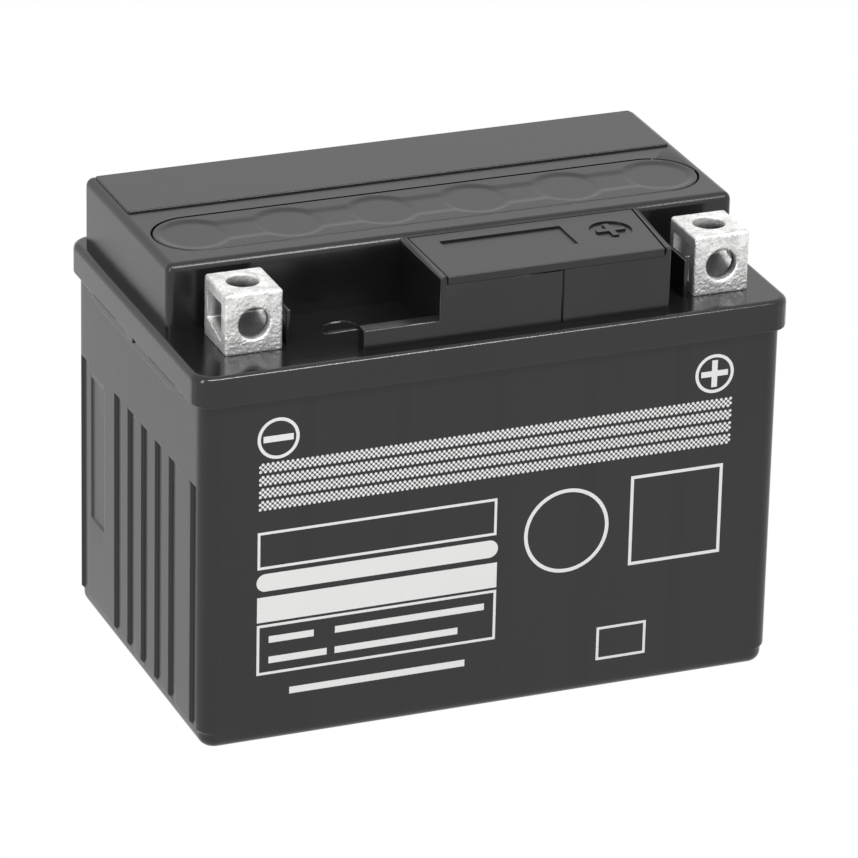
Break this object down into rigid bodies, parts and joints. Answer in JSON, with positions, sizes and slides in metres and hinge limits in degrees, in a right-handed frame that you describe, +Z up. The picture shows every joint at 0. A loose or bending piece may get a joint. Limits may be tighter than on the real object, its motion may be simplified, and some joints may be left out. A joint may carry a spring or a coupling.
{
  "type": "motorcycle battery",
  "caption": "Small sealed black motorcycle battery: a ribbed case, a stepped cover with a strip lid, and two block terminals with nut slots in front recesses.",
  "frame": {"origin": "centre of the battery's outline on the face that it rests on", "axes": "+X along the length, towards the positive terminal; -Y towards the front face with the terminals; +Z up"},
  "size_m": [0.113, 0.07, 0.085],
  "materials": {
    "case_plastic": "moulded black polypropylene, satin",
    "cover_plastic": "moulded black polypropylene, semi gloss",
    "terminal_lead": "bright cast lead alloy, grainy",
    "cast_lead": "dull cast lead alloy",
    "positive_plate": "pasted lead dioxide",
    "negative_plate": "pasted sponge lead",
    "glass_mat": "absorbent glass fibre mat",
    "rubber": "soft black rubber",
    "porous_plastic": "sintered porous plastic"
  },
  "bodies": {
    "battery": {"case": "case_plastic", "cover": "cover_plastic", "vent_lid": "cover_plastic", "middle_lid": "cover_plastic", "flame_arrestor": "porous_plastic", "negative_terminal": "terminal_lead", "positive_terminal": "terminal_lead", "negative_post": "cast_lead", "positive_post": "cast_lead", "negative_seal": "rubber", "positive_seal": "rubber", "positive_plates_1": "positive_plate", "positive_plates_2": "positive_plate", "positive_plates_3": "positive_plate", "positive_plates_4": "positive_plate", "positive_plates_5": "positive_plate", "positive_plates_6": "positive_plate", "negative_plates_1": "negative_plate", "negative_plates_2": "negative_plate", "negative_plates_3": "negative_plate", "negative_plates_4": "negative_plate", "negative_plates_5": "negative_plate", "negative_plates_6": "negative_plate", "separator_mats_1": "glass_mat", "separator_mats_2": "glass_mat", "separator_mats_3": "glass_mat", "separator_mats_4": "glass_mat", "separator_mats_5": "glass_mat", "separator_mats_6": "glass_mat", "cell_link_1": "cast_lead", "cell_link_2": "cast_lead", "cell_link_3": "cast_lead", "cell_link_4": "cast_lead", "cell_link_5": "cast_lead"},
    "valve_1": {"valve_cap_1": "rubber"},
    "valve_2": {"valve_cap_2": "rubber"},
    "valve_3": {"valve_cap_3": "rubber"},
    "valve_4": {"valve_cap_4": "rubber"},
    "valve_5": {"valve_cap_5": "rubber"},
    "valve_6": {"valve_cap_6": "rubber"}
  },
  "joints": [
    {"name": "valve_lift_1", "type": "slide", "parent": "battery", "child": "valve_1", "axis": [0, 0, 1], "range_m": [0, 0.0004], "stiffness_N_per_m": 100},
    {"name": "valve_lift_2", "type": "slide", "parent": "battery", "child": "valve_2", "axis": [0, 0, 1], "range_m": [0, 0.0004], "stiffness_N_per_m": 100},
    {"name": "valve_lift_3", "type": "slide", "parent": "battery", "child": "valve_3", "axis": [0, 0, 1], "range_m": [0, 0.0004], "stiffness_N_per_m": 100},
    {"name": "valve_lift_4", "type": "slide", "parent": "battery", "child": "valve_4", "axis": [0, 0, 1], "range_m": [0, 0.0004], "stiffness_N_per_m": 100},
    {"name": "valve_lift_5", "type": "slide", "parent": "battery", "child": "valve_5", "axis": [0, 0, 1], "range_m": [0, 0.0004], "stiffness_N_per_m": 100},
    {"name": "valve_lift_6", "type": "slide", "parent": "battery", "child": "valve_6", "axis": [0, 0, 1], "range_m": [0, 0.0004], "stiffness_N_per_m": 100}
  ]
}
